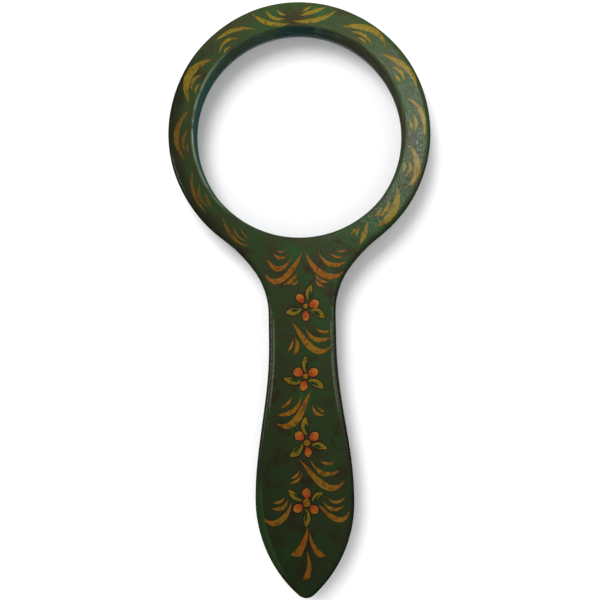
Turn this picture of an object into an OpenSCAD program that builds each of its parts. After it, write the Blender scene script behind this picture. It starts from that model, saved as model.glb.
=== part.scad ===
// Hand lens: a painted wooden frame and handle, sawn from one board, around a round reading lens.
// It lies on its flat back. +Z comes out of the painted face and +Y runs from the handle to the
// ring. The origin is the middle of its footprint, on the back face. Sizes are in millimetres.

/* [Frame] */
// Overall length, from the top of the ring to the tip of the handle
overall_l = 245.5; // [235:0.5:260]
// Outside diameter of the ring
ring_d = 108; // [106:0.5:112]
// Diameter of the round opening that is looked through
aperture_d = 86; // [84:0.5:87]
// Thickness of the board
board_t = 15; // [13:0.5:18]
// Radius of the rounded outer edges, front and back
edge_r = 2.5; // [1:0.25:2.75]
// Radius of the rounded front edge of the opening
rim_r = 1; // [0.5:0.25:2.5]

/* [Handle] */
// Width of the neck, where the handle is narrowest
neck_w = 28; // [24:0.5:32]
// Largest width of the handle
swell_w = 40.8; // [36:0.2:46]
// Angle off the long axis at which the shoulders leave the ring
shoulder_angle = 36.5; // [36:0.5:37.5]
// Radius of the hollow curve that leaves the ring
shoulder_r = 56; // [54:1:58]
// Radius of the hollow curve that runs into the neck
throat_r = 31; // [27:1:34]
// Distance from the ring's centre to where the neck begins to widen
flare_from = 86; // [80:1:95]
// Radius of the two long curves that meet at the tip
tip_side_r = 52; // [45:1:60]
// Radius of the blunt end of the tip
tip_r = 4.75; // [3:0.25:6]

/* [Lens] */
// Diameter of the lens
lens_d = 90; // [88:0.5:91]
// Focal length of the lens
focal_l = 250; // [240:5:330]
// Refractive index of the glass
glass_n = 1.517; // [1.5:0.001:1.53]
// Thickness of the lens at its ground edge
lens_edge_t = 1.5; // [1:0.1:2.5]
// How far the rear of the lens stays inside the back face
back_gap = 0.3; // [0.2:0.1:0.8]
// Least thickness of the bedding rings on either side of the lens
bedding_t = 0.3; // [0.2:0.1:0.5]

/* [Retainer] */
// Width of the turned ring that closes the back, from its inner to its outer edge
retainer_w = 6.4; // [6:0.1:6.6]
// Radius of the rounded rear inner edge of the retaining ring
retainer_edge_r = 0.8; // [0.4:0.1:1.2]
// Number of screws through the retaining ring
screw_count = 6; // [4:1:8]
// Diameter of a screw's shank
screw_d = 1.5; // [1.2:0.1:1.8]
// Diameter of a screw's countersunk head
head_d = 2.8; // [2.4:0.1:3]
// Length of a screw, head included
screw_l = 7; // [6:0.5:9]

/* [Hidden] */
$fn = 128;

ring_r = ring_d / 2;
aperture_r = aperture_d / 2;
lens_r = lens_d / 2;
neck_hw = neck_w / 2;
swell_hw = swell_w / 2;
ring_y = overall_l / 2 - ring_r;

// Gaps that let the pieces go together, and the reach of cutters past the faces they cut
seat_gap = 0.3;
lens_gap = 0.01;
retainer_gap = 0.1;
screw_gap = 0.05;
head_sink = 0.05;
past = 1;

// The rim's rounding is set this much high, so that it meets the front face at a slight angle
rim_lift = 0.1;

// Lens: both faces have one radius, and the rear one nearly reaches the back face
surface_r = 2 * focal_l * (glass_n - 1);
edge_sag = surface_r - sqrt(pow(surface_r, 2) - pow(lens_r, 2));
rim_sag = surface_r - sqrt(pow(surface_r, 2) - pow(aperture_r, 2));
rear_edge_z = back_gap + edge_sag;
front_edge_z = rear_edge_z + lens_edge_t;
rear_rim_z = back_gap + rim_sag;
front_rim_z = front_edge_z + edge_sag - rim_sag;
rear_centre_z = back_gap + surface_r;
front_centre_z = front_edge_z + edge_sag - surface_r;

// Steps in the board: the lens lies on the shoulder, and the retaining ring closes the back
retainer_t = rear_rim_z - bedding_t;
shoulder_z = front_rim_z + bedding_t;
seat_r = lens_r + seat_gap;
rim_z = board_t - rim_r + rim_lift;
retainer_r = aperture_r + retainer_w;
rebate_r = retainer_r + retainer_gap;

// Screws: on a circle midway between the lens seat and the retaining ring's edge
screw_circle_r = (seat_r + retainer_r) / 2;
screw_start_angle = 90;
head_depth = (head_d - screw_d) / 2;
point_l = 1.5;
slot_w = 0.4;
slot_depth = 0.35;

// Outline, worked out about the ring's centre with the handle towards -Y
ring_steps = 44;
curve_steps = 8;
flare_steps = 12;
tip_steps = 5;
neck_cos = ((ring_r + shoulder_r) * sin(shoulder_angle) - throat_r - neck_hw)
    / (shoulder_r - throat_r);
join_angle = acos(neck_cos);
shoulder_centre = (ring_r + shoulder_r) * [sin(shoulder_angle), -cos(shoulder_angle)];
throat_centre = shoulder_centre - (shoulder_r - throat_r) * [neck_cos, -sin(join_angle)];
tip_angle = acos((tip_side_r - swell_hw) / (tip_side_r - tip_r));
tip_y = ring_r - overall_l + tip_r;
swell_y = tip_y + (tip_side_r - tip_r) * sin(tip_angle);
side_centre = [swell_hw - tip_side_r, swell_y];

// Points on an arc about c, from angle a to angle b, leaving out the first one
function arc(c, r, a, b, steps) = [
    for (i = [1:steps]) let (t = a + (b - a) * i / steps) c + r * [cos(t), sin(t)]
];

// The handle widens along a cosine, so its edge is straight at the neck and at the swell
function flare(t) = [
    neck_hw + (swell_hw - neck_hw) * (1 - cos(180 * t)) / 2,
    -flare_from + t * (swell_y + flare_from)
];

// Right-hand half of the outline, from just past the top of the ring to just before the tip
right_half = concat(
    arc([0, 0], ring_r, 90, shoulder_angle - 90, ring_steps),
    arc(shoulder_centre, shoulder_r, shoulder_angle + 90, 180 - join_angle, curve_steps),
    arc(throat_centre, throat_r, 180 - join_angle, 180, curve_steps),
    [for (i = [0:flare_steps]) flare(i / flare_steps)],
    arc(side_centre, tip_side_r, 0, -tip_angle, curve_steps),
    [for (i = [1:tip_steps - 1]) let (t = tip_angle + (90 - tip_angle) * i / tip_steps)
        [0, tip_y] + tip_r * [cos(t), -sin(t)]]
);
half_count = len(right_half);
outline = concat(
    [[0, ring_r]],
    right_half,
    [[0, ring_r - overall_l]],
    [for (i = [half_count - 1:-1:0]) [-right_half[i].x, right_half[i].y]]
);
outline_count = len(outline);

// Outward direction at each point, for a loop that runs clockwise seen from the front
function turned_left(v) = [-v.y, v.x] / norm(v);
outward = [
    for (i = [0:outline_count - 1])
        turned_left(outline[(i + 1) % outline_count]
            - outline[(i + outline_count - 1) % outline_count])
];

// Section of the board's edge, [inset, height], from the back face to the front face
edge_steps = 5;
edge_section = concat(
    [for (i = [0:edge_steps]) let (t = 90 * i / edge_steps)
        edge_r * [1 - sin(t), 1 - cos(t)]],
    [for (i = [0:edge_steps]) let (t = 90 * i / edge_steps)
        [edge_r * (1 - cos(t)), board_t - edge_r * (1 - sin(t))]]
);
level_count = len(edge_section);

// Triangles that fill the outline, in strips from its right-hand side across to its left
face_strips = concat(
    [[0, 1, outline_count - 1]],
    [for (i = [1:half_count - 1]) each [
        [i, i + 1, outline_count - i - 1],
        [i, outline_count - i - 1, outline_count - i]
    ]],
    [[half_count, half_count + 1, half_count + 2]]
);
function turned_over(triangles) = [for (t = triangles) [t.z, t.y, t.x]];
function raised(triangles, offset) = [for (t = triangles) [for (i = t) i + offset]];

// The solid board: one loop of points a level, joined by triangles, and a face at each end
module board() {
    points = [
        for (level = edge_section, i = [0:outline_count - 1])
            let (p = outline[i] - level.x * outward[i]) [p.x, p.y, level.y]
    ];
    sides = [
        for (k = [0:level_count - 2], i = [0:outline_count - 1])
            let (
                j = (i + 1) % outline_count,
                low = k * outline_count,
                high = low + outline_count
            )
            each [[high + j, high + i, low + i], [high + j, low + i, low + j]]
    ];
    translate([0, ring_y, 0]) polyhedron(
        points,
        concat(sides, turned_over(face_strips), raised(face_strips, (level_count - 1) * outline_count)),
        convexity = 6
    );
}

// Everything turned out of the ring in one profile: rebate, lens seat, opening and rounded rim
module ring_cutter() {
    translate([0, ring_y, 0]) rotate_extrude() {
        translate([0, -past]) square([rebate_r, past + retainer_t]);
        square([seat_r, shoulder_z]);
        square([aperture_r, board_t + past]);
        difference() {
            translate([0, rim_z]) square([aperture_r + rim_r, board_t + past - rim_z]);
            translate([aperture_r + rim_r, rim_z]) circle(r = rim_r);
        }
    }
}

// Puts its children at each screw's place
module at_screws() {
    for (i = [0:screw_count - 1])
        translate([0, ring_y, 0])
            rotate([0, 0, screw_start_angle + 360 * i / screw_count])
                translate([screw_circle_r, 0, 0]) children();
}

// A ring of card on the lens's axis, thinner towards the middle where the lens bulges. outer_z and
// inner_z are the lens's surface at its ground edge and above the opening's wall, and flat_z is the
// wood that the card lies against.
module bedding_ring(outer_z, inner_z, flat_z) {
    translate([0, ring_y, 0]) rotate_extrude()
        polygon([[aperture_r, inner_z], [lens_r, outer_z], [lens_r, flat_z], [aperture_r, flat_z]]);
}

// Ring and handle in one piece of wood
module handle_frame() {
    color([0.17, 0.24, 0.13]) difference() {
        board();
        ring_cutter();
        at_screws() cylinder(r = screw_d / 2 + screw_gap, h = head_sink + screw_l + screw_gap);
    }
}

// Biconvex lens with a ground edge: what two balls and a cylinder have in common
module lens() {
    color([0.86, 0.94, 0.93, 0.4]) translate([0, ring_y, 0]) intersection() {
        translate([0, 0, rear_centre_z]) sphere(r = surface_r, $fn = 256);
        translate([0, 0, front_centre_z]) sphere(r = surface_r, $fn = 256);
        cylinder(r = lens_r, h = board_t);
    }
}

// Card ring between the shoulder and the front of the lens
module front_bedding_ring() {
    color([0.5, 0.38, 0.24])
        bedding_ring(front_edge_z + lens_gap, front_rim_z + lens_gap, shoulder_z);
}

// Card ring between the back of the lens and the retaining ring
module rear_bedding_ring() {
    color([0.5, 0.38, 0.24])
        bedding_ring(rear_edge_z - lens_gap, rear_rim_z - lens_gap, retainer_t);
}

// Turned wooden ring, flush with the back, that holds the lens in
module retaining_ring() {
    color([0.15, 0.2, 0.11]) difference() {
        translate([0, ring_y, 0]) rotate_extrude() difference() {
            translate([aperture_r, 0]) square([retainer_w, retainer_t]);
            difference() {
                translate([aperture_r - past, -past])
                    square([past + retainer_edge_r, past + retainer_edge_r]);
                translate([aperture_r + retainer_edge_r, retainer_edge_r])
                    circle(r = retainer_edge_r);
            }
        }
        at_screws() {
            translate([0, 0, -past]) cylinder(r = screw_d / 2 + screw_gap, h = retainer_t + 2 * past);
            translate([0, 0, -past]) cylinder(r = head_d / 2 + screw_gap, h = past + head_sink);
            translate([0, 0, head_sink])
                cylinder(r1 = head_d / 2 + screw_gap, r2 = screw_d / 2 + screw_gap, h = head_depth);
        }
    }
}

// One slotted countersunk screw, head at the bottom
module screw() {
    difference() {
        union() {
            cylinder(r1 = head_d / 2, r2 = screw_d / 2, h = head_depth);
            cylinder(r = screw_d / 2, h = screw_l - point_l);
            translate([0, 0, screw_l - point_l])
                cylinder(r1 = screw_d / 2, r2 = screw_d / 10, h = point_l);
        }
        translate([-head_d, -slot_w / 2, -past]) cube([2 * head_d, slot_w, past + slot_depth]);
    }
}

// The screws that hold the retaining ring
module retaining_screws() {
    color([0.72, 0.56, 0.28]) at_screws() translate([0, 0, head_sink]) screw($fn = 48);
}

handle_frame();
lens();
front_bedding_ring();
rear_bedding_ring();
retaining_ring();
retaining_screws();
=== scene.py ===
"""Hand lens: a painted wooden frame and handle round a reading lens, lying face up on a white table.

Shapes are worked out in millimetres about the middle of the ring, with the handle towards -Y and
the painted face towards +Z, and turned into metres in the CAD's frame as each piece is made.
"""

import math

import bmesh
import bpy
import numpy as np
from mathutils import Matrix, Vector, noise
from mathutils.bvhtree import BVHTree
from mathutils.geometry import delaunay_2d_cdt


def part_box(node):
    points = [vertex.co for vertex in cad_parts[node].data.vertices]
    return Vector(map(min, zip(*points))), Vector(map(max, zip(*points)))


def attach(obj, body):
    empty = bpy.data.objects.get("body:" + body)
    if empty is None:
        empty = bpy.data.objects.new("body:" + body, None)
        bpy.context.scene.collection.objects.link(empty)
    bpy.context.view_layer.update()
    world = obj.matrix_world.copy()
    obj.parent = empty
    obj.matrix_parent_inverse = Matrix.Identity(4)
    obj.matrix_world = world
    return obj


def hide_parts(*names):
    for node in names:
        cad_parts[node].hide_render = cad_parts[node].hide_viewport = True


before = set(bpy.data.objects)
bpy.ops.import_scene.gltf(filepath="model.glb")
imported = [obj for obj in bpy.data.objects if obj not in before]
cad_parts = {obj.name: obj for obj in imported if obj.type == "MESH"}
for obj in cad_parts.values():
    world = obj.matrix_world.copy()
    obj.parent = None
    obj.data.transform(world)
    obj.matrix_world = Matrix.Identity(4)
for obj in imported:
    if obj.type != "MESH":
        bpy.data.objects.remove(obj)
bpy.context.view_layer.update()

MM = 0.001

# ---------------------------------------------------------------- sizes read from the CAD

frame_low, frame_high = (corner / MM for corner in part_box("handle_frame"))
lens_low, lens_high = (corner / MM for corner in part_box("lens"))

RING_Y = (lens_low.y + lens_high.y) / 2


def radii(node):
    """Smallest and largest distance of a node's points from the axis of the ring."""
    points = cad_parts[node].data.vertices
    away = [math.hypot(p.co.x / MM, p.co.y / MM - RING_Y) for p in points]
    return min(away), max(away)


RING_R = frame_high.y - RING_Y
LENGTH = frame_high.y - frame_low.y
BOARD_T = frame_high.z
LENS_R = radii("lens")[1]
OPENING_R = radii("front_bedding_ring")[0]
SHOULDER_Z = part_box("front_bedding_ring")[1].z / MM
RETAINER_R = radii("retaining_ring")[1]
RETAINER_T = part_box("retaining_ring")[1].z / MM
SCREW_CIRCLE_R = sum(radii("retaining_screws")) / 2

# ---------------------------------------------------------------- sizes that the CAD also has

NECK_HALF = 14.0
SWELL_HALF = 20.4
SHOULDER_ANGLE = 36.5
SHOULDER_CURVE_R = 56.0
THROAT_CURVE_R = 31.0
FLARE_FROM = 86.0
TIP_SIDE_R = 52.0
TIP_R = 4.75
EDGE_R = 2.5
RIM_R = 1.0
SEAT_GAP = 0.3
RETAINER_GAP = 0.1
FOCAL_LENGTH = 250.0
GLASS_IOR = 1.517
SCREW_COUNT = 6
SCREW_HOLE_R = 0.8
SCREW_HOLE_TOP = 7.1

# ---------------------------------------------------------------- camera

CAMERA_ABOVE_FACE = 280.0
FRAMED_PLANE_Z = BOARD_T - EDGE_R
WIDTH_SEEN = 247.2
CAMERA_X = -0.8
CAMERA_Y = RING_Y - 68.6
CAMERA_ROLL = -0.89


def add_camera():
    """Looks straight down at the face from above the middle of the whole lens and handle, and takes
    in WIDTH_SEEN at the height where the board's upper edge starts to round."""
    data = bpy.data.cameras.new("camera")
    camera = bpy.data.objects.new("camera", data)
    bpy.context.scene.collection.objects.link(camera)
    height = BOARD_T + CAMERA_ABOVE_FACE
    camera.location = Vector((CAMERA_X, CAMERA_Y, height)) * MM
    camera.rotation_euler = (0, 0, math.radians(CAMERA_ROLL))
    data.angle = 2 * math.atan(WIDTH_SEEN / 2 / (height - FRAMED_PLANE_Z))
    data.clip_start = 0.01
    bpy.context.scene.camera = camera


# ---------------------------------------------------------------- mesh tools


class Shell:
    """The points and faces of one piece, with one number for each point that its paint may use."""

    def __init__(self):
        self.points, self.faces, self.tones = [], [], []

    def loop(self, points, tone=0.0):
        """Adds points and returns their indices."""
        first = len(self.points)
        self.points += [tuple(float(v) for v in p) for p in points]
        tones = np.broadcast_to(np.asarray(tone, float), len(self.points) - first)
        self.tones += tones.tolist()
        return list(range(first, len(self.points)))

    def bridge(self, a, b, closed=True):
        """Joins two rows of points of the same length with quads."""
        for i in range(len(a) if closed else len(a) - 1):
            j = (i + 1) % len(a)
            self.faces.append((a[i], a[j], b[j], b[i]))

    def make(self, name, finish, slot, sharp=35):
        """Turns the shell into a piece that rides on the object."""
        mesh = bpy.data.meshes.new(name)
        points = [(x * MM, (y + RING_Y) * MM, z * MM) for x, y, z in self.points]
        mesh.from_pydata(points, [], self.faces)
        tone = mesh.attributes.new("tone", "FLOAT", "POINT")
        tone.data.foreach_set("value", self.tones)
        work = bmesh.new()
        work.from_mesh(mesh)
        bmesh.ops.recalc_face_normals(work, faces=work.faces)
        work.to_mesh(mesh)
        work.free()
        mesh.shade_smooth()
        mesh.set_sharp_from_angle(angle=math.radians(sharp))
        mesh.materials.append(finish)
        piece = bpy.data.objects.new(name, mesh)
        bpy.context.scene.collection.objects.link(piece)
        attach(piece, "root")
        return piece


def inside(points, loop):
    """Which of the points lie inside a closed loop; both are arrays of x and y."""
    x, y = points[:, 0, None], points[:, 1, None]
    ax, ay = loop[:, 0], loop[:, 1]
    bx, by = np.roll(ax, -1), np.roll(ay, -1)
    rise = np.where(by == ay, 1e-9, by - ay)
    crossed = ((ay > y) != (by > y)) & (x < ax + (y - ay) * (bx - ax) / rise)
    return crossed.sum(1) % 2 == 1


def between(points, outer, holes):
    """Which of the points lie inside the outer loop and outside every hole."""
    found = inside(points, outer)
    for hole in holes:
        found &= ~inside(points, hole)
    return found


def staggered_grid(low, high, spacing):
    """Points in rows, each row half a step along from the one before it."""
    rows = np.arange(low[1], high[1], spacing * math.sqrt(3) / 2)
    columns = np.arange(low[0], high[0], spacing)
    return np.array([(x + spacing / 2 * (k % 2), y) for k, y in enumerate(rows) for x in columns])


def fill(shell, outer, holes, spacing, z):
    """Covers the flat area between loops of the shell with triangles about one spacing wide."""
    indices = [i for loop in (outer, *holes) for i in loop]
    loops = [np.array([shell.points[i][:2] for i in loop]) for loop in (outer, *holes)]
    rim = np.concatenate(loops)
    grid = staggered_grid(rim.min(0), rim.max(0), spacing)
    grid = grid[between(grid, loops[0], loops[1:])]
    nearest = np.array([np.hypot(*(rim - p).T).min() for p in grid])
    grid = grid[nearest > 0.6 * spacing]
    indices += shell.loop([(x, y, z) for x, y in grid])
    edges, start = [], 0
    for loop in loops:
        edges += [(start + i, start + (i + 1) % len(loop)) for i in range(len(loop))]
        start += len(loop)
    flat = [Vector(p) for p in np.concatenate([rim, grid]).tolist()]
    points, _, triangles, sources, _, _ = delaunay_2d_cdt(flat, edges, [], 0, 1e-7)
    corners = np.array([[points[i][:] for i in t] for t in triangles])
    for t, kept in zip(triangles, between(corners.mean(1), loops[0], loops[1:])):
        if kept:
            shell.faces.append(tuple(indices[sources[i][0]] for i in t))


def circle(radius, count, z, centre=(0, 0)):
    """A loop of points round a centre, starting at its right."""
    turns = np.arange(count) / count * 2 * math.pi
    return [(centre[0] + radius * math.cos(t), centre[1] + radius * math.sin(t), z) for t in turns]


def unevenness(x, y, size, seed):
    """A smooth random value from 0 to 1 that changes over about size millimetres."""
    return 0.5 + 0.5 * max(-1, min(1, 1.6 * noise.noise(Vector((x / size, y / size, seed)))))


# ---------------------------------------------------------------- outline of the board

OUTLINE_SPACING = 1.2
FLARE_STEPS = 56


def arc(centre, radius, start, end):
    """Points on an arc between two angles in degrees, leaving out the first one."""
    count = max(3, round(radius * math.radians(abs(end - start)) / OUTLINE_SPACING))
    angles = np.radians(np.linspace(start, end, count + 1)[1:])
    return np.column_stack([centre[0] + radius * np.cos(angles), centre[1] + radius * np.sin(angles)])


def board_outline():
    """The edge of the board seen from the front, clockwise from the top of the ring."""
    shoulder = math.radians(SHOULDER_ANGLE)
    reach = RING_R + SHOULDER_CURVE_R
    step = SHOULDER_CURVE_R - THROAT_CURVE_R
    neck_cos = (reach * math.sin(shoulder) - THROAT_CURVE_R - NECK_HALF) / step
    join = math.acos(neck_cos)
    shoulder_centre = (reach * math.sin(shoulder), -reach * math.cos(shoulder))
    throat_centre = (shoulder_centre[0] - step * neck_cos, shoulder_centre[1] + step * math.sin(join))
    tip_angle = math.acos((TIP_SIDE_R - SWELL_HALF) / (TIP_SIDE_R - TIP_R))
    tip_y = RING_R - LENGTH + TIP_R
    swell_y = tip_y + (TIP_SIDE_R - TIP_R) * math.sin(tip_angle)
    turned = 180 - math.degrees(join)
    t = np.linspace(0, 1, FLARE_STEPS + 1)
    flare = np.column_stack([
        NECK_HALF + (SWELL_HALF - NECK_HALF) * (1 - np.cos(math.pi * t)) / 2,
        -FLARE_FROM + t * (swell_y + FLARE_FROM),
    ])
    tip_degrees = math.degrees(tip_angle)
    half = np.concatenate([
        arc((0, 0), RING_R, 90, SHOULDER_ANGLE - 90),
        arc(shoulder_centre, SHOULDER_CURVE_R, SHOULDER_ANGLE + 90, turned),
        arc(throat_centre, THROAT_CURVE_R, turned, 180),
        flare,
        arc((SWELL_HALF - TIP_SIDE_R, swell_y), TIP_SIDE_R, 0, -tip_degrees),
        arc((0, tip_y), TIP_R, -tip_degrees, -90)[:-1],
    ])
    return np.concatenate([[[0, RING_R]], half, [[0, RING_R - LENGTH]], half[::-1] * (-1, 1)])


# ---------------------------------------------------------------- the board

HAND_SHAVING = 0.2
FACE_RIPPLE = 0.06
FACE_SPACING = 1.6
BACK_SPACING = 5.0
ROUND_STEPS = 10
OPENING_POINTS = 264
HOLE_POINTS = 20
BEVEL_AT = Vector((-18.5, -163.0))
BEVEL_REACH = 22.0
BEVEL_GAIN = 0.45


def edge_section():
    """Pairs of inset and height up the board's edge, for a rounding of EDGE_R at both faces."""
    turns = np.radians(np.linspace(0, 90, ROUND_STEPS + 1))
    lower = [(EDGE_R * (1 - math.sin(t)), EDGE_R * (1 - math.cos(t))) for t in turns]
    upper = [(EDGE_R * (1 - math.cos(t)), BOARD_T - EDGE_R * (1 - math.sin(t))) for t in turns]
    middle = [(0, z) for z in np.linspace(EDGE_R, BOARD_T - EDGE_R, 5)[1:-1]]
    return lower + middle + upper


def edge_levels(shell):
    """The board's outer edge in levels from the back up to the face, a little uneven from hand
    shaving. Its tone is 0 where the rounding meets the face and 1 at the outside."""
    outline = board_outline()
    along = np.roll(outline, -1, axis=0) - np.roll(outline, 1, axis=0)
    outward = np.column_stack([-along[:, 1], along[:, 0]]) / np.hypot(*along.T)[:, None]
    shaved = [HAND_SHAVING * unevenness(x, y, 24, 1.5) for x, y in outline]
    outline = outline - outward * np.array(shaved)[:, None]
    near = [(Vector(p) - BEVEL_AT).length / BEVEL_REACH for p in outline.tolist()]
    bevel = 1 + BEVEL_GAIN * np.clip(1 - np.array(near) ** 2, 0, 1)

    levels = []
    for inset, z in edge_section():
        wide = bevel if z > BOARD_T / 2 else 1
        at = outline - outward * np.broadcast_to(inset * wide, len(outline))[:, None]
        rounded = 1 - inset / EDGE_R if z > BOARD_T / 2 else 1
        levels.append(shell.loop([(x, y, z) for x, y in at], tone=rounded))
        if len(levels) > 1:
            shell.bridge(levels[-2], levels[-1])
    return levels


def opening_rings(shell):
    """The opening in rings from its rim at the face down to the retaining ring, and the two rings
    of the rebate that the retaining ring lies in."""
    seat_r, rebate_r = LENS_R + SEAT_GAP, RETAINER_R + RETAINER_GAP
    turns = np.radians(np.linspace(90, 180, ROUND_STEPS + 1))
    rounding = [
        (OPENING_R + RIM_R * (1 + math.cos(t)), BOARD_T - RIM_R * (1 - math.sin(t))) for t in turns
    ]
    wall = [(OPENING_R, z) for z in np.linspace(BOARD_T - RIM_R, SHOULDER_Z, 6)[1:]]
    rings = []
    for radius, z in rounding + wall + [(seat_r, SHOULDER_Z), (seat_r, RETAINER_T)]:
        rings.append(shell.loop(circle(radius, OPENING_POINTS, z)))
        if len(rings) > 1:
            shell.bridge(rings[-2], rings[-1])
    shelf = shell.loop(circle(rebate_r, OPENING_POINTS, RETAINER_T))
    mouth = shell.loop(circle(rebate_r, OPENING_POINTS, 0))
    shell.bridge(shelf, mouth)
    return rings, shelf, mouth


def screw_holes(shell):
    """Blind holes for the screws, and their mouths."""
    holes = []
    for k in range(SCREW_COUNT):
        turn = math.radians(90 + 360 * k / SCREW_COUNT)
        centre = (SCREW_CIRCLE_R * math.cos(turn), SCREW_CIRCLE_R * math.sin(turn))
        holes.append(shell.loop(circle(SCREW_HOLE_R, HOLE_POINTS, RETAINER_T, centre)))
        deep = shell.loop(circle(SCREW_HOLE_R, HOLE_POINTS, SCREW_HOLE_TOP, centre))
        shell.bridge(holes[-1], deep)
        shell.faces.append(tuple(deep))
    return holes


def board():
    """The board with its rounded edges, its opening, and the steps that the lens lies in."""
    shell = Shell()
    levels = edge_levels(shell)
    rings, shelf, mouth = opening_rings(shell)
    holes = screw_holes(shell)
    fill(shell, levels[-1], [rings[0]], FACE_SPACING, BOARD_T)
    fill(shell, shelf, [rings[-1], *holes], BACK_SPACING, RETAINER_T)
    fill(shell, levels[0], [mouth], BACK_SPACING, 0)

    for i, (x, y, z) in enumerate(shell.points):
        share = max(0, 2 * z / BOARD_T - 1)
        shell.points[i] = (x, y, z - share * FACE_RIPPLE * unevenness(x, y, 14, 7.5))
    return shell


# ---------------------------------------------------------------- lens

LENS_RINGS = 36
LENS_POINTS = 192


def reading_lens():
    """Biconvex lens with a ground edge, turned from one section."""
    surface_r = 2 * FOCAL_LENGTH * (GLASS_IOR - 1)
    radius = LENS_R * np.linspace(1, 0, LENS_RINGS + 1)[:-1]
    sag = surface_r - np.sqrt(surface_r**2 - radius**2)
    shell = Shell()
    edges = []
    for z, apex in ((lens_high.z - sag, lens_high.z), (lens_low.z + sag, lens_low.z)):
        rings = [shell.loop(circle(r, LENS_POINTS, h)) for r, h in zip(radius, z)]
        for a, b in zip(rings, rings[1:]):
            shell.bridge(a, b)
        top = shell.loop([(0, 0, apex)])[0]
        shell.faces += [(a, b, top) for a, b in zip(rings[-1], rings[-1][1:] + rings[-1][:1])]
        edges.append(rings[0])
    shell.bridge(*edges)
    return shell


# ---------------------------------------------------------------- brushwork

PAINT_LIFT = 0.05
PAINT_EDGE = 0.02
PAINT_ROOT = -0.04
ACROSS = np.array([-1, -0.8, -0.45, 0, 0.45, 0.8, 1])
DAB_STEP = 0.45
LEAST_HALF = 0.03


def swelling(t, belly, fullness):
    """Share of the full width along a dab that is widest at its belly, a share of its length."""
    return np.sin(math.pi * t ** (math.log(0.5) / math.log(belly))) ** fullness


def crescent(t, belly):
    """A stroke that is pointed at both ends."""
    return swelling(t, belly, 0.85)


def leaf(t, belly):
    """A leaf, a little fuller towards its ends than a stroke."""
    return swelling(t, belly, 0.8)


def oval(t, belly):
    """A petal or the middle of a flower, round at both ends."""
    return swelling(t, belly, 0.55)


def blunt(t, belly):
    """A stroke that starts in a point, grows as far as its belly, and stops square."""
    return np.minimum(t / belly, 1) ** 0.7 * np.minimum((1 - t) / 0.04, 1) ** 0.5


def through(points, t):
    """Points and directions on one smooth curve through a few points, at shares t of its length."""
    points = np.array(points, float)
    run = np.concatenate([[0], np.cumsum(np.hypot(*np.diff(points, axis=0).T))])
    run /= run[-1]
    curves = [np.polyfit(run, points[:, k], len(points) - 1) for k in (0, 1)]
    at = np.column_stack([np.polyval(c, t) for c in curves])
    going = np.column_stack([np.polyval(np.polyder(c), t) for c in curves])
    return at, going / np.hypot(*going.T)[:, None]


class Brush(Shell):
    """Dabs of paint on the board: thin domed patches whose undersides are just inside the wood."""

    def __init__(self, ground, lift=PAINT_LIFT, edge=PAINT_EDGE):
        super().__init__()
        self.ground, self.lift, self.edge = ground, lift, edge

    def height(self, x, y):
        """Height of the board's painted face at a point."""
        hit = self.ground.ray_cast(Vector((x, y, 2 * BOARD_T)), Vector((0, 0, -1)))[0]
        return hit.z if hit else BOARD_T - EDGE_R

    def dab(self, points, width, shape=crescent, belly=0.5, tone=0.0, ragged=0.12, slant=0.0):
        """One dab along a curve, width wide at its belly. Tone may run along it, and slant sets
        its far end askew."""
        length = np.hypot(*np.diff(np.array(points, float), axis=0).T).sum()
        count = max(9, round(length / DAB_STEP))
        t = 0.5 - 0.5 * np.cos(math.pi * np.linspace(0, 1, count))
        at, going = through(points, t)
        half = np.maximum(width / 2 * shape(t, belly), LEAST_HALF)
        tones = np.interp(t, np.linspace(0, 1, np.size(tone)), np.atleast_1d(tone))
        tops, roots = [], []
        for (x, y), (dx, dy), h, shade, share in zip(at, going, half, tones, t):
            row = []
            for s in ACROSS:
                waver = 1 + ragged * (2 * unevenness(x + 3 * s, y, 1.7, 4.5) - 1)
                out, on = s * h * waver, slant * s * h * share**3
                row.append((x - dy * out + dx * on, y + dx * out + dy * on))
            ground = [self.height(*p) for p in row]
            domed = self.edge + (self.lift - self.edge) * (1 - ACROSS**4)
            tops.append(self.loop([(*p, g + d) for p, g, d in zip(row, ground, domed)], shade))
            roots.append(self.loop([(*p, g + PAINT_ROOT) for p, g in zip(row, ground)], shade))
        for rows in (tops, roots):
            for a, b in zip(rows, rows[1:]):
                self.bridge(a, b, closed=False)
        for side in (0, -1):
            top, root = [r[side] for r in tops], [r[side] for r in roots]
            self.bridge(top, root, closed=False)
            self.bridge(tops[side], roots[side], closed=False)


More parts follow.
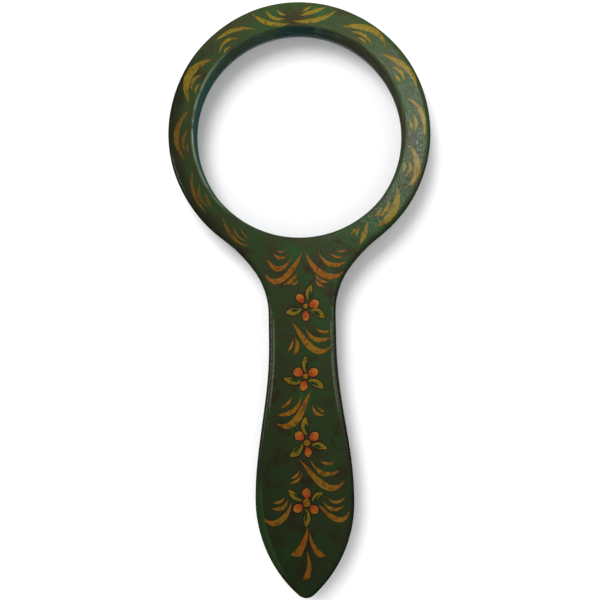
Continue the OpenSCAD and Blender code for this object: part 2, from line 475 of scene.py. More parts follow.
# Sprays round the ring. Each stroke is its width, then points along its middle as an angle
# clockwise from the top and a radius.
RING_SPRAYS = [
    [
        (1.9, (-21, 52.2), (-18, 48.2), (-4.5, 44.5)),
        (1.3, (-14.5, 51.8), (-12.5, 48.2), (-6, 46.7)),
        (0.9, (-9.5, 50.8), (-8, 48.8), (-5.5, 48.2)),
    ],
    [
        (1.8, (-2.5, 45.5), (10, 46.5), (18, 52)),
        (1.6, (1, 47.5), (7.5, 49.5), (13, 52.2)),
        (0.9, (2, 49), (6.5, 51.8)),
    ],
    [
        (2.6, (23, 46.3), (33, 50.4), (39, 51.4), (46.5, 49.2)),
        (1.4, (28, 46), (34.5, 47.5), (40.5, 46.6)),
        (0.9, (31.5, 45), (35, 45.7), (39, 44.9)),
    ],
    [
        (2.3, (47, 46.5), (54, 49), (62, 51.4), (71, 50.8)),
        (1.6, (55.5, 46), (59.5, 48), (65, 47.6)),
        (1.3, (59.5, 45.5), (64.5, 46.2)),
    ],
    [
        (2.0, (73, 46), (79, 49.6), (86, 51.2), (93.5, 50.7)),
        (1.4, (81.5, 46.6), (85.5, 47.8), (91, 46.8)),
        (1.2, (84.5, 45.5), (90, 46)),
    ],
    [
        (2.8, (97.5, 45.6), (104, 49), (110, 50.8), (118, 49.1)),
        (1.4, (105.5, 45.5), (109, 47.8), (114, 46.6)),
        (1.2, (106.5, 45.2), (112.5, 45.4)),
    ],
    [
        (3.1, (120, 45.3), (126, 48.8), (133.5, 50.4), (142.5, 49.3)),
        (1.6, (128, 45.4), (132.5, 47.6), (138, 47.3)),
        (1.0, (133, 45.2), (136, 46.2), (139.5, 46)),
    ],
    [
        (1.8, (143.5, 46), (148.5, 49.5), (153, 52.4)),
        (1.2, (149, 46), (152.5, 48.3)),
        (1.2, (150, 45.5), (154.5, 46.8)),
    ],
    [
        (1.6, (-42.5, 50.4), (-33.5, 49.8), (-22.5, 45.7)),
        (1.2, (-44.5, 45.7), (-40, 47.6), (-31.5, 45.2)),
        (0.9, (-43, 44.5), (-41, 45.1), (-38, 44.6)),
    ],
    [
        (3.1, (-74.5, 46.6), (-63.5, 50.6), (-48.5, 46.1)),
        (1.3, (-68, 47), (-63.5, 48.2), (-58.5, 46)),
        (1.0, (-69, 45.1), (-66.5, 45.8), (-63, 44.9)),
    ],
    [
        (2.2, (-103, 48.1), (-93.5, 50.3), (-76.5, 45.2)),
        (1.2, (-98.5, 47.5), (-94, 47.7), (-88, 45.5)),
        (0.9, (-100, 46), (-97, 46.3), (-94.5, 45.4)),
    ],
    [
        (1.4, (-108, 45.8), (-115, 48.8), (-122, 50.2), (-130.5, 50.2)),
        (1.1, (-116.5, 45.6), (-121.5, 48.5), (-129, 48)),
        (0.9, (-121.5, 45.5), (-125.5, 46.6), (-130, 47.1)),
    ],
    [
        (1.4, (-136.5, 46.7), (-144, 50), (-151.5, 51.5), (-156, 50.4)),
        (0.9, (-144, 47), (-148, 49.2), (-154, 49.4)),
        (0.8, (-147.5, 46), (-150.5, 47.6), (-154, 48.3)),
    ],
]

# Sprays down the handle. Each stroke is its width, then points along its middle.
HANDLE_SPRAYS = [
    [
        (2.7, (0.3, -49), (-4.6, -57), (-10.8, -60.9), (-15, -57.7)),
        (2.2, (-3.8, -50.6), (-9.6, -55.8), (-14, -51.8)),
        (1.3, (-5.2, -49.6), (-8.6, -51.4), (-11.5, -49.3)),
        (0.8, (-6.6, -48.1), (-8.2, -48.9), (-9.9, -48.1)),
    ],
    [
        (2.9, (1.6, -48.7), (5.2, -55.3), (11.4, -59.2), (17.4, -57)),
        (1.9, (6.9, -49.1), (12.4, -54.4), (18.2, -53.2)),
        (1.1, (11.8, -49.6), (14.2, -51.2), (17.1, -51.1)),
        (0.8, (14.2, -48.4), (15.9, -49), (18.3, -48.5)),
    ],
    [
        (1.8, (-1.8, -57.2), (-3.4, -60), (-7.6, -62)),
        (1.0, (-1.5, -60.3), (-2.4, -61.6), (-4.4, -62.1)),
    ],
    [
        (1.4, (5.5, -57.7), (7.4, -60.6), (10.8, -61.5)),
        (1.2, (5.6, -60), (6.8, -62.3), (9.2, -63.4)),
    ],
    [
        (2.9, (-4.2, -77.7), (0.8, -85), (6.6, -89.6), (11.7, -87.4)),
        (2.1, (1, -79.8), (6.2, -85), (11.3, -84)),
        (1.3, (5.4, -79.8), (8.2, -81.8), (11.3, -81.1)),
    ],
    [
        (2.0, (-3.4, -83.5), (-2.2, -87), (-3.8, -91)),
        (1.2, (-4, -84.4), (-4.5, -87.2), (-6.2, -89.5)),
    ],
    [
        (3.3, (3.1, -105.9), (-0.6, -113.5), (-5.5, -119.6), (-11.3, -118.8)),
        (2.2, (-0.8, -107.3), (-4.5, -114), (-11, -115.4)),
        (1.5, (-4.7, -107.7), (-6.5, -110.8), (-9.4, -112.4)),
    ],
    [
        (1.5, (3.7, -111.2), (5.2, -115), (8.3, -115.8)),
        (0.9, (5.7, -112), (7, -113.8), (8.7, -114.4)),
    ],
    [
        (3.0, (-2.2, -133.8), (3.6, -140.6), (9.8, -145.4), (16.4, -142.7)),
        (2.1, (2.2, -133.6), (8.6, -139.8), (14.3, -138.5)),
        (1.2, (6, -134), (8.6, -135.5), (12.3, -135.2)),
    ],
    [
        (1.4, (-2.2, -138.1), (-3.4, -140.4), (-5.6, -141.4)),
        (1.2, (-1, -138.6), (-2.8, -142.2), (-6.4, -143.4)),
    ],
    [
        (2.7, (-5.7, -151.1), (-8, -156.6), (-12.2, -159.6), (-17, -157.4)),
        (1.9, (-6.9, -149.8), (-9.6, -153.6), (-13.6, -153.5)),
        (1.4, (-8.1, -148.8), (-10, -150.8), (-13.1, -151.3)),
    ],
    [
        (2.4, (5.3, -152), (9.6, -156.4), (14, -158.6), (18.2, -154.8)),
        (1.7, (7.3, -150.8), (11, -154.2), (15.8, -153)),
        (1.4, (9.4, -149.7), (12.4, -151.4), (16.2, -149.5)),
    ],
]

# The tail below the last flower. Each stroke starts in a point and stops square. Its width is at
# the square end, the number after that says how far the end is askew, and then come points along
# its middle.
TAIL_STROKES = [
    (3.6, -0.75, (0.9, -161.6), (-1.2, -168.6), (-4.6, -173.2)),
    (2.6, 0.9, (1.7, -163.6), (3.3, -169.4), (6.9, -173.7)),
    (2.6, -0.9, (0.5, -171.4), (1.2, -177.5), (-0.1, -182.9)),
]

# Flowers, from the top down: the middle, its radius, the petals' middles with their width, and
# each leaf's foot and tip with its width. Petals and leaves are measured from the flower's middle.
FLOWERS = [
    ((1.4, -71.1), 1.0, [(-2, 3, 3.3), (3.5, 0.8, 3.6), (0, -4, 3)],
     [((1.1, 2.4), (2.7, 8.6), 2.7), ((-1.6, -1.2), (-8.1, -2.3), 3.1), ((2, -1.7), (7.9, -5.2), 3.1)]),
    ((1, -99.8), 1.1, [(-2.9, 1.6, 3.9), (3.1, 1.5, 3.8), (-0.8, -3.8, 3.3)],
     [((0.2, 1.4), (0.2, 8.3), 2.1), ((-1.8, -2.2), (-9, -0.6), 2.8), ((1, -1.6), (7.3, -5.2), 3)]),
    ((1.1, -126.9), 1.4, [(-2.9, 2.7, 3.6), (2.9, 2.5, 3.8), (0.4, -3.8, 3)],
     [((-0.2, 3), (-0.2, 10.6), 3), ((-1.6, -0.6), (-7.1, -5.5), 3.1), ((2, -1), (8.2, -2.7), 2.8)]),
    ((0.6, -151.5), 1.6, [(0.1, 3.8, 3.5), (-3.4, -2.1, 3.5), (2.9, -2.6, 3.4)],
     [((-1.8, 1), (-7.2, 5.6), 2.8), ((2.2, 0.6), (6.8, 4.1), 2.4), ((-0.3, -2.4), (-0.6, -9.9), 2.7)]),
]
PETAL_LENGTH = 4.3
OUTLINE_WIDTH = 0.4
LEAF_BOW = 0.08
TOP_SPRAYS_END = -65.0

# How far the paint of each layer stands above the wood, at its middle and at its edge
PETAL_LIFT = (0.06, 0.035)
GREEN_LIFT = (0.075, 0.05)
MIDDLE_LIFT = (0.09, 0.05)
LINE_LIFT = (0.03, 0.02)


def on_ring(angle, radius):
    """The point at an angle clockwise from the top of the ring."""
    turn = math.radians(angle)
    return (radius * math.sin(turn), radius * math.cos(turn))


def ring_brushwork(ground):
    """Crescents of ochre round the ring, browner and thinner down its left, and at all their ends."""
    brush = Brush(ground)
    for spray in RING_SPRAYS:
        for width, *points in spray:
            middle = points[len(points) // 2][0]
            left = max(0, math.sin(math.radians(-middle)))
            thin = max(0, math.sin(math.radians(-middle - 45))) ** 2
            tone = 0.25 * left**3 + thin
            brush.dab([on_ring(*p) for p in points], width, tone=(tone + 0.35, tone, tone, tone + 0.4))
    return brush


def handle_brushwork(ground):
    """Sprays of ochre between the flowers, widest just past their middles, and the tail."""
    brush = Brush(ground)
    for spray in HANDLE_SPRAYS:
        for width, *points in spray:
            brown = 0.75 if points[0][1] > TOP_SPRAYS_END else 0.5
            tone = (brown + 0.5, brown, brown - 0.1, brown + 0.4)
            brush.dab(points, 0.9 * width, belly=0.58, tone=tone)
    for width, slant, *points in TAIL_STROKES:
        brush.dab(points, width, shape=blunt, belly=0.97, tone=(1.2, 0.9, 0.7), slant=slant)
    return brush


def flowers(ground):
    """Petals, leaves, the dark middles of the leaves, the flowers' middles and the lines round all."""
    petals, leaves = Brush(ground, *PETAL_LIFT), Brush(ground, *PETAL_LIFT)
    greens, middles = Brush(ground, *GREEN_LIFT), Brush(ground, *MIDDLE_LIFT)
    lines = Brush(ground, *LINE_LIFT)
    for (cx, cy), radius, petal_list, leaf_list in FLOWERS:
        for x, y, width in petal_list:
            away = Vector((x, y)).normalized() * PETAL_LENGTH / 2
            ends = [(cx + x - away.x, cy + y - away.y), (cx + x + away.x, cy + y + away.y)]
            petals.dab(ends, width, oval, 0.55, tone=(1, 0.5, 0.1))
            lines.dab(outgrown(ends), width + 2 * OUTLINE_WIDTH, oval, 0.55)
        for foot, tip, width in leaf_list:
            start, end = Vector((cx + foot[0], cy + foot[1])), Vector((cx + tip[0], cy + tip[1]))
            along = bowed(start, end, LEAF_BOW)
            leaves.dab(along, width, leaf, tone=(0.3, 0.5, 0.1))
            lines.dab(outgrown(along), width + 2 * OUTLINE_WIDTH, leaf)
            greens.dab([start.lerp(end, 0.1), start.lerp(end, 0.68)], width * 0.5, leaf, ragged=0.5)
        ends = [(cx - radius, cy), (cx + radius, cy)]
        middles.dab(ends, 2 * radius, oval, tone=0.4)
        lines.dab(outgrown(ends), 2 * (radius + OUTLINE_WIDTH), oval)
    return petals, leaves, greens, middles, lines


def outgrown(points):
    """The same points with both ends moved outwards by the width of a drawn line."""
    points = [Vector(p) for p in points]
    first = (points[0] - points[1]).normalized() * OUTLINE_WIDTH
    last = (points[-1] - points[-2]).normalized() * OUTLINE_WIDTH
    return [points[0] + first, *points[1:-1], points[-1] + last]


def bowed(start, end, bow):
    """Three points from start to end, the middle one off the straight line by a share of it."""
    run = end - start
    return [start, start + run / 2 + Vector((-run.y, run.x)) * bow, end]


# ---------------------------------------------------------------- materials

# Painted light: how brightly the paint is lit at the middle of the ring, and how much brighter with
# each millimetre
PAINTED_LIGHT_AT_MIDDLE = 1.0345
PAINTED_LIGHT_UPWARDS = 0.002241
PAINTED_LIGHT_RIGHTWARDS = 0.002759


def srgb(red, green, blue):
    """A colour named as a screen shows it, from 0 to 255, as Blender's linear one."""
    shares = [v / 255 for v in (red, green, blue)]
    return (*[s / 12.92 if s <= 0.04045 else ((s + 0.055) / 1.055) ** 2.4 for s in shares], 1.0)


class Finish:
    """One material, and short ways to add nodes to it."""

    def __init__(self, name):
        self.material = bpy.data.materials.new(name)
        self.material.use_nodes = True
        self.nodes = self.material.node_tree.nodes
        self.links = self.material.node_tree.links
        self.shader = self.nodes["Principled BSDF"]

    def feed(self, socket, value):
        """Gives a socket a value or an output."""
        if isinstance(value, bpy.types.NodeSocket):
            self.links.new(value, socket)
        else:
            socket.default_value = value

    def set(self, **values):
        """Sets the shader's inputs; a name's underscores stand for spaces."""
        for name, value in values.items():
            self.feed(self.shader.inputs[name.replace("_", " ")], value)

    def add(self, kind, inputs, output=0, **settings):
        """Adds a node and returns one of its outputs."""
        node = self.nodes.new("ShaderNode" + kind)
        for name, value in settings.items():
            setattr(node, name, value)
        for name, value in inputs.items():
            self.feed(node.inputs[name], value)
        return node.outputs[output]

    def position(self, stretch=(1, 1, 1)):
        """Millimetres about the middle of the ring, each axis times its stretch."""
        scale = [s / MM for s in stretch]
        shift = [0, -RING_Y * stretch[1], 0]
        where = self.add("TexCoord", {}, output="Object")
        return self.add("VectorMath", {0: where, 1: scale, 2: shift}, operation="MULTIPLY_ADD")

    def tone(self):
        """The number that each point of the piece carries."""
        return self.add("Attribute", {}, output="Fac", attribute_name="tone")

    def maths(self, operation, a, b=0.0, c=0.0):
        """One sum of up to three values."""
        return self.add("Math", {0: a, 1: b, 2: c}, operation=operation)

    def times(self, first, *others):
        """The product of several values."""
        for other in others:
            first = self.maths("MULTIPLY", first, other)
        return first

    def axis(self, where, name):
        """One coordinate of a place: X, Y or Z."""
        return self.add("SeparateXYZ", {"Vector": where}, output=name)

    def radius(self, where):
        """Distance of a place from the axis of the ring."""
        across = self.add("VectorMath", {0: where, 1: (1, 1, 0)}, operation="MULTIPLY")
        return self.add("VectorMath", {0: across}, output="Value", operation="LENGTH")

    def distance(self, where, place):
        """Distance of a place from a fixed one."""
        apart = self.add("VectorMath", {0: where, 1: place}, operation="SUBTRACT")
        return self.add("VectorMath", {0: apart}, output="Value", operation="LENGTH")

    def ease(self, value, low, high, to_low=0.0, to_high=1.0):
        """Carries a value from low..high to to_low..to_high, smoothly and no further."""
        names = ("Value", "From Min", "From Max", "To Min", "To Max")
        inputs = dict(zip(names, (value, low, high, to_low, to_high)))
        return self.add("MapRange", inputs, interpolation_type="SMOOTHSTEP")

    def blobs(self, where, size, low=0.35, high=0.65, detail=3.0, seed=0.0):
        """From 0 to 1 in patches about size millimetres across."""
        inputs = {"Vector": where, "W": seed, "Scale": 1 / size, "Detail": detail, "Roughness": 0.55}
        return self.ease(self.add("TexNoise", inputs, noise_dimensions="4D"), low, high)

    def mix(self, share, a, b):
        """Goes from colour a to colour b."""
        return self.add("Mix", {0: share, 6: a, 7: b}, output=2, data_type="RGBA")

    def gain(self, colour, amount):
        """A colour made lighter or darker."""
        return self.add("VectorMath", {0: colour, "Scale": amount}, operation="SCALE")

    def painted_light(self):
        """Painted light: a gain of about 1 all over, a little more towards the upper right, as if more
        light fell there.
        """
        at = self.position()
        rise = self.maths("MULTIPLY_ADD", self.axis(at, "Y"), PAINTED_LIGHT_UPWARDS, PAINTED_LIGHT_AT_MIDDLE)
        return self.maths("MULTIPLY_ADD", self.axis(at, "X"), PAINTED_LIGHT_RIGHTWARDS, rise)

    def bump(self, height, depth):
        """Raises the surface by height, at most depth millimetres."""
        relief = {"Height": height, "Distance": depth * MM, "Strength": 1.0}
        self.set(Normal=self.add("Bump", relief))


# Colours of the board, as a screen shows them.
GLAZE = (srgb(50, 56, 32), srgb(43, 64, 32))
BROWN_PATCHES = srgb(50, 44, 27)
BRIGHT_PATCHES = srgb(42, 72, 35)
# Painted light: a greener tint where the lower-left bevel catches the light.
BEVEL_PAINTED_LIGHT = srgb(34, 62, 28)
# Painted highlight on the rounded rim of the opening's left side.
RIM_PAINTED_HIGHLIGHT = srgb(98, 108, 84)
# Painted highlight along the neck's edges, where the rounding meets the face.
RIDGE_PAINTED_HIGHLIGHT = srgb(94, 106, 82)
OUTER_DARK_BAND = srgb(30, 30, 17)
# Painted shade on the board's rounded outside edge.
EDGE_PAINTED_SHADE = srgb(20, 18, 13)
WALL_LEFT, WALL_LEFT_PALER = srgb(50, 62, 47), srgb(48, 84, 78)
WALL_RIGHT, WALL_RIGHT_PALER = srgb(54, 56, 43), srgb(74, 72, 56)
WALL_TOP = srgb(32, 50, 50)
WALL_FAR_LEFT = srgb(44, 76, 70)

# Where the board's paint changes: each pair is where a change starts and where it is complete, by
# distance from the ring's axis (R), across (X) or along (Y), or by tone.
FEWER_BROWN_X = (26, 42)
BEVEL_AWAY, BEVEL_TONE = (26, 14), (0.01, 0.12)
RIM_HIGHLIGHT_R, RIM_HIGHLIGHT_X = (OPENING_R + 1.6, OPENING_R + 1.0), (-26, -40)
RIDGE_TONE, RIDGE_TONE_END = (0.0, 0.02), (0.45, 0.15)
NECK_R, NECK_R_END = (66, 84), (126, 100)
OUTER_R, OUTER_X, OUTER_Y = (47, 51.5), (-18, -42), (40, 20)
WALL_R = (OPENING_R + 0.5, OPENING_R + 0.1)
WALL_RIGHT_X, WALL_FAR_LEFT_X = (-6, 22), (-30, -40)
WALL_TOP_X, WALL_TOP_X_END = (-12, -4), (20, 8)
EDGE_SHADE_TONE, EDGE_SHADE_Y = (0.05, 0.6), (0, 45)
GRAINY_X = (15, 45)


def glaze_patches(f, at, grain):
    """Uneven green over a dark ground, with brown patches, fewer at the right, and bright ones."""
    fewer = f.ease(f.axis(at, "X"), *FEWER_BROWN_X, 1.0, 0.25)
    colour = f.mix(f.blobs(at, 16), *GLAZE)
    colour = f.mix(f.times(f.blobs(at, 7, 0.5, 0.68, seed=2), fewer), colour, BROWN_PATCHES)
    colour = f.mix(f.blobs(at, 10, 0.55, 0.72, seed=5), colour, BRIGHT_PATCHES)
    colour = f.gain(colour, f.ease(grain, 0, 1, 0.95, 1.05))
    # Painted light: the green brightened towards the upper right, as if more light fell there.
    return f.gain(colour, f.maths("POWER", f.painted_light(), 2.0))


def edge_light_and_dark_band(f, at, grain, colour):
    """Painted light: a greener tint on the bevel at the handle's lower left, and painted highlights
    on the opening's left rim and along the neck's edges; and a darker band outside on the ring's left."""
    x, y, radius, tone = f.axis(at, "X"), f.axis(at, "Y"), f.radius(at), f.tone()
    # Painted light on the lower-left bevel, greener where it catches the light.
    bevel = f.ease(f.distance(at, (*BEVEL_AT, BOARD_T)), *BEVEL_AWAY)
    colour = f.mix(f.times(bevel, f.ease(tone, *BEVEL_TONE), 0.7), colour, BEVEL_PAINTED_LIGHT)

    # Painted highlight on the opening's left rim, broken into patches.
    rim = f.times(f.ease(radius, *RIM_HIGHLIGHT_R), f.ease(x, *RIM_HIGHLIGHT_X))
    colour = f.mix(f.times(rim, f.blobs(at, 7, 0.3, 0.5, seed=12), 0.75), colour, RIM_PAINTED_HIGHLIGHT)

    # Painted highlight along the neck's edges, broken by grain and patches.
    ridge = f.times(f.ease(tone, *RIDGE_TONE), f.ease(tone, *RIDGE_TONE_END))
    neck = f.times(f.ease(radius, *NECK_R), f.ease(radius, *NECK_R_END))
    broken = f.times(f.ease(grain, 0, 1, 0.4, 1.0), f.blobs(at, 9, 0.34, 0.52, detail=5, seed=14))
    colour = f.mix(f.times(ridge, neck, broken, 0.8), colour, RIDGE_PAINTED_HIGHLIGHT)

    # A darker band on the ring's outside edge at its left and lower side.
    outer = f.times(f.ease(radius, *OUTER_R), f.ease(x, *OUTER_X), f.ease(y, *OUTER_Y))
    return f.mix(f.times(outer, 0.75), colour, OUTER_DARK_BAND)


def opening_wall(f, at):
    """Stains on the opening's wall: teal at the far left and the top, dark green between them, and
    brown at the right."""
    x = f.axis(at, "X")
    right = f.ease(x, *WALL_RIGHT_X)
    top = f.times(f.ease(x, *WALL_TOP_X), f.ease(x, *WALL_TOP_X_END))
    stain = f.mix(top, f.mix(right, WALL_LEFT, WALL_RIGHT), WALL_TOP)
    stain = f.mix(f.ease(x, *WALL_FAR_LEFT_X), stain, WALL_FAR_LEFT)
    paler = f.mix(right, WALL_LEFT_PALER, WALL_RIGHT_PALER)
    streaks = f.blobs(f.position((1, 1, 3)), 6, 0.48, 0.7, detail=5, seed=11)
    return f.mix(streaks, stain, paler)


def green_glaze():
    """Varnished green with painted light and highlights at the edges, painted shade on the outside
    edge of the handle and the lower ring, and the opening's wall stained and dull."""
    f = Finish("painted_wood")
    at = f.position()
    grain = f.blobs(f.position((1.3, 0.8, 1)), 0.6, 0.3, 0.7, detail=4, seed=8)
    wall = f.ease(f.radius(at), *WALL_R)
    # Painted shade: the outside rounding darkened, most on the handle and lower ring, none at the top.
    edge_shade = f.times(f.ease(f.tone(), *EDGE_SHADE_TONE), f.ease(f.axis(at, "Y"), *EDGE_SHADE_Y, 0.4, 0.0))
    speckles = f.ease(f.blobs(at, 0.8, 0.3, 0.7, detail=3, seed=16), 0, 1, 0.22, 0.58)
    waves = f.maths("ADD", grain, f.blobs(at, 3, 0.3, 0.7, seed=6))

    colour = edge_light_and_dark_band(f, at, grain, glaze_patches(f, at, grain))
    colour = f.mix(wall, colour, opening_wall(f, at))
    f.set(Base_Color=f.mix(edge_shade, colour, EDGE_PAINTED_SHADE), Roughness=f.ease(grain, 0, 1, 0.18, 0.27))
    f.set(Specular_IOR_Level=f.times(speckles, f.ease(wall, 0, 1, 1.0, 0.0)))
    f.bump(f.times(waves, f.ease(f.axis(at, "X"), *GRAINY_X, 0.4, 1.0)), 0.04)
    return f.material


STAIN_SIZE = 1.6
STAIN_AMOUNT = 0.55
THIN_PAINT = srgb(46, 56, 32)


def brush_paint(name, light, deep, mottle):
    """Paint that runs from a light to a deep colour as the dab's tone goes from 0 to 1, and then
    thins until the green shows through as it goes from 1 to 2, with stains over all."""
    f = Finish(name)
    at = f.position()
    colour = f.mix(f.ease(f.tone(), 0, 1), light, deep)
    colour = f.mix(f.ease(f.tone(), 1, 2), colour, THIN_PAINT)
    stains = f.blobs(at, STAIN_SIZE, 0.5, 0.6, detail=5, seed=4)
    colour = f.mix(f.times(stains, STAIN_AMOUNT), colour, mottle)
    grain = f.blobs(at, 0.45, 0.3, 0.7, seed=9)
    colour = f.gain(colour, f.ease(grain, 0, 1, 0.85, 1.12))
    # Painted light: the paint brightened towards the upper right, as on the green.
    colour = f.gain(colour, f.painted_light())
    f.set(Base_Color=colour, Roughness=f.ease(grain, 0, 1, 0.2, 0.32), Specular_IOR_Level=0.3)
    f.bump(grain, 0.015)
    return f.material


def lens_glass():
    """Clear glass with the faintest rub marks in its polish."""
    f = Finish("lens_glass")
    rubbed = f.blobs(f.position(), 9, 0.6, 0.8)
    f.set(Base_Color=(1, 1, 1, 1), Transmission_Weight=1.0, IOR=GLASS_IOR)
    f.set(Roughness=f.ease(rubbed, 0, 1, 0.0, 0.015))
    return f.material


def bedding_card():
    """Fibrous card, stained dark teal."""
    f = Finish("bedding_card")
    fibres = f.blobs(f.position((3, 1, 1)), 0.8, 0.3, 0.7)
    f.set(Base_Color=f.mix(fibres, srgb(24, 48, 50), srgb(44, 70, 72)), Roughness=0.9)
    f.bump(fibres, 0.03)
    return f.material


def turned_wood():
    """The retaining ring: dark green over turning marks, rubbed brown in patches, teal inside."""
    f = Finish("turned_wood")
    at = f.position()
    radius = f.radius(at)
    lathe = f.blobs(f.add("CombineXYZ", {"X": radius}), 0.5, 0.3, 0.7)
    colour = f.mix(f.blobs(at, 8), srgb(30, 42, 28), srgb(40, 50, 34))
    colour = f.mix(f.blobs(at, 4, 0.6, 0.75, seed=2), colour, srgb(74, 56, 36))
    colour = f.mix(f.ease(radius, RETAINER_R - 5.4, RETAINER_R - 6.0), colour, srgb(16, 42, 44))
    f.set(Base_Color=f.gain(colour, f.ease(lathe, 0, 1, 0.8, 1.1)))
    f.set(Roughness=f.ease(lathe, 0, 1, 0.5, 0.65), Specular_IOR_Level=0.3)
    f.bump(lathe, 0.03)
    return f.material


def screw_brass():
    """Old brass, browned, with brighter scratches where the screwdriver has been."""
    f = Finish("screw_brass")
    at = f.position()
    tarnish = f.blobs(at, 0.7, 0.4, 0.65)
    scratches = f.blobs(f.position((1, 6, 1)), 0.4, 0.55, 0.7, seed=3)
    colour = f.mix(tarnish, srgb(196, 160, 88), srgb(120, 88, 46))
    f.set(Base_Color=f.mix(scratches, colour, srgb(224, 190, 116)), Metallic=1.0)
    f.set(Roughness=f.ease(tarnish, 0, 1, 0.3, 0.55))
    f.bump(scratches, 0.01)
    return f.material


TABLE_LEVEL = 0.96


def table_white():
    """White card under the object."""
    f = Finish("table_white")
    f.set(Base_Color=(*[TABLE_LEVEL] * 3, 1), Roughness=0.9, Specular_IOR_Level=0.0)
    return f.material


# ---------------------------------------------------------------- light and table

AMBIENT = 0.72
GLOSS_AMBIENT = 0.02
TABLE_SIZE = 6.0

# Square soft boxes: name, place, what it faces, size and power, in metres and watts. GLOSS_BOXES
# only put a gloss on the varnish: a haze at the ring's right, and thin lines along the edges.
MIDDLE_OF_FACE = (0, RING_Y * MM, BOARD_T * MM)
MIDDLE_OF_TABLE = (0, 0, 0)
KEY_LIGHT = ("key", (-0.58, 0.88, 1.55), MIDDLE_OF_TABLE, 0.88, 26.5)
GLOSS_BOXES = [
    ("sheen", (0.166, 0.212, 0.615), MIDDLE_OF_FACE, 0.06, 0.6),
    ("left_box", (-0.8, 0.0, 0.28), MIDDLE_OF_TABLE, 0.22, 0.5),
    ("right_box", (0.66, 0.05, 0.5), MIDDLE_OF_TABLE, 0.3, 0.6),
]


def add_table():
    """One white sheet under the object, which the varnish doesn't mirror."""
    mesh = bpy.data.meshes.new("table")
    half = TABLE_SIZE / 2
    corners = [(-half, -half, 0), (half, -half, 0), (half, half, 0), (-half, half, 0)]
    mesh.from_pydata(corners, [], [(0, 1, 2, 3)])
    mesh.materials.append(table_white())
    table = bpy.data.objects.new("table", mesh)
    bpy.context.scene.collection.objects.link(table)
    table.visible_glossy = False


def add_lamp(name, place, target, size, power, shines_on=None):
    """A square soft box at a place in metres that faces a target. Without shines_on it lights the
    scene but shows in no gloss; with it, it only puts a gloss on those pieces."""
    data = bpy.data.lights.new(name, "AREA")
    data.shape, data.size, data.energy = "SQUARE", size, power
    lamp = bpy.data.objects.new(name, data)
    bpy.context.scene.collection.objects.link(lamp)
    lamp.location = place
    lamp.rotation_euler = (Vector(target) - Vector(place)).to_track_quat("-Z", "Y").to_euler()
    lamp.visible_camera = False
    lamp.visible_transmission = False
    if shines_on is None:
        lamp.visible_glossy = False
    else:
        lamp.visible_diffuse = False
        data.use_shadow = False
        lamp.light_linking.receiver_collection = shines_on


def multiplied(nodes, links, a, b):
    """The product of two outputs."""
    node = nodes.new("ShaderNodeMath")
    node.operation = "MULTIPLY"
    links.new(a, node.inputs[0])
    links.new(b, node.inputs[1])
    return node.outputs[0]


def add_world():
    """Even white all round, but dim in glossy reflections that haven't passed through the lens, so
    that the varnished green stays deep."""
    world = bpy.data.worlds.new("world")
    world.use_nodes = True
    nodes, links = world.node_tree.nodes, world.node_tree.links
    back = nodes["Background"]
    back.inputs["Color"].default_value = (1, 1, 1, 1)
    path = nodes.new("ShaderNodeLightPath")
    outside = nodes.new("ShaderNodeMath")
    outside.operation = "LESS_THAN"
    outside.inputs[1].default_value = 0.5
    links.new(path.outputs["Transmission Depth"], outside.inputs[0])
    glossy, reflected = path.outputs["Is Glossy Ray"], path.outputs["Is Reflection Ray"]
    mirrored = multiplied(nodes, links, glossy, reflected)
    level = nodes.new("ShaderNodeMapRange")
    level.inputs["To Min"].default_value = AMBIENT
    level.inputs["To Max"].default_value = GLOSS_AMBIENT
    links.new(multiplied(nodes, links, mirrored, outside.outputs[0]), level.inputs["Value"])
    links.new(level.outputs["Result"], back.inputs["Strength"])
    bpy.context.scene.world = world


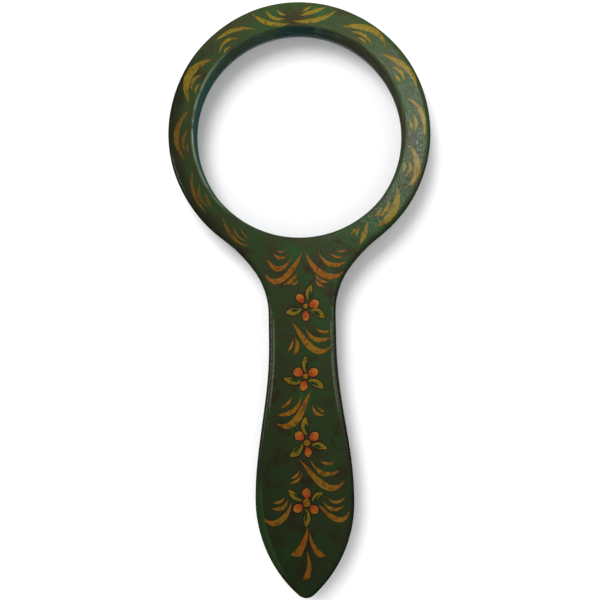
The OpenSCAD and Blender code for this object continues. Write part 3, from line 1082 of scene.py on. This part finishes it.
def add_light(varnished):
    """A key light from the upper left, and soft boxes that only the varnish shows."""
    bpy.context.scene.view_settings.view_transform = "Standard"
    add_world()
    shiny = bpy.data.collections.new("varnished")
    for piece in varnished:
        shiny.objects.link(piece)
    add_lamp(*KEY_LIGHT)
    for box in GLOSS_BOXES:
        add_lamp(*box, shines_on=shiny)


# ---------------------------------------------------------------- the scene

add_camera()

wood = board()
ground = BVHTree.FromPolygons([Vector(p) for p in wood.points], wood.faces)
painted_frame = wood.make("painted_frame", green_glaze(), "painted_wood")
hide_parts("handle_frame")

glass = reading_lens().make("reading_lens", lens_glass(), "lens_glass")
glass.visible_shadow = False
glass.visible_diffuse = False
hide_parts("lens")

DARK_RED = srgb(72, 34, 14)
ring_ochre = brush_paint("ring_ochre", srgb(116, 99, 22), srgb(92, 66, 14), DARK_RED)
handle_ochre = brush_paint("handle_ochre", srgb(124, 94, 18), srgb(127, 74, 6), DARK_RED)
vermilion = brush_paint("vermilion_paint", srgb(160, 98, 20), srgb(142, 46, 20), srgb(112, 36, 16))
olive = brush_paint("olive_paint", srgb(122, 94, 14), srgb(90, 84, 18), srgb(64, 64, 18))
LEAF_GREEN, INK = srgb(34, 54, 22), srgb(24, 20, 15)
leaf_green = brush_paint("leaf_green_paint", LEAF_GREEN, LEAF_GREEN, srgb(26, 34, 18))
ink = brush_paint("ink_line", INK, INK, srgb(34, 26, 16))

petals, leaves, greens, middles, lines = flowers(ground)
PAINTWORK = {
    "ring_brushwork": (ring_brushwork(ground), ring_ochre),
    "handle_brushwork": (handle_brushwork(ground), handle_ochre),
    "flower_petals": (petals, vermilion),
    "flower_leaves": (leaves, olive),
    "leaf_middles": (greens, leaf_green),
    "flower_middles": (middles, handle_ochre),
    "ink_outlines": (lines, ink),
}
paintwork = [brush.make(name, paint, "painted_wood") for name, (brush, paint) in PAINTWORK.items()]

CAD_FINISHES = {
    "front_bedding_ring": (bedding_card(), "bedding_card"),
    "rear_bedding_ring": (bedding_card(), "bedding_card"),
    "retaining_ring": (turned_wood(), "painted_wood"),
    "retaining_screws": (screw_brass(), "screw_brass"),
}
for name, (finish, slot) in CAD_FINISHES.items():
    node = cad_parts[name]
    node.data.materials.clear()
    node.data.materials.append(finish)

add_table()
add_light([painted_frame, *paintwork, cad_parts["retaining_ring"]])
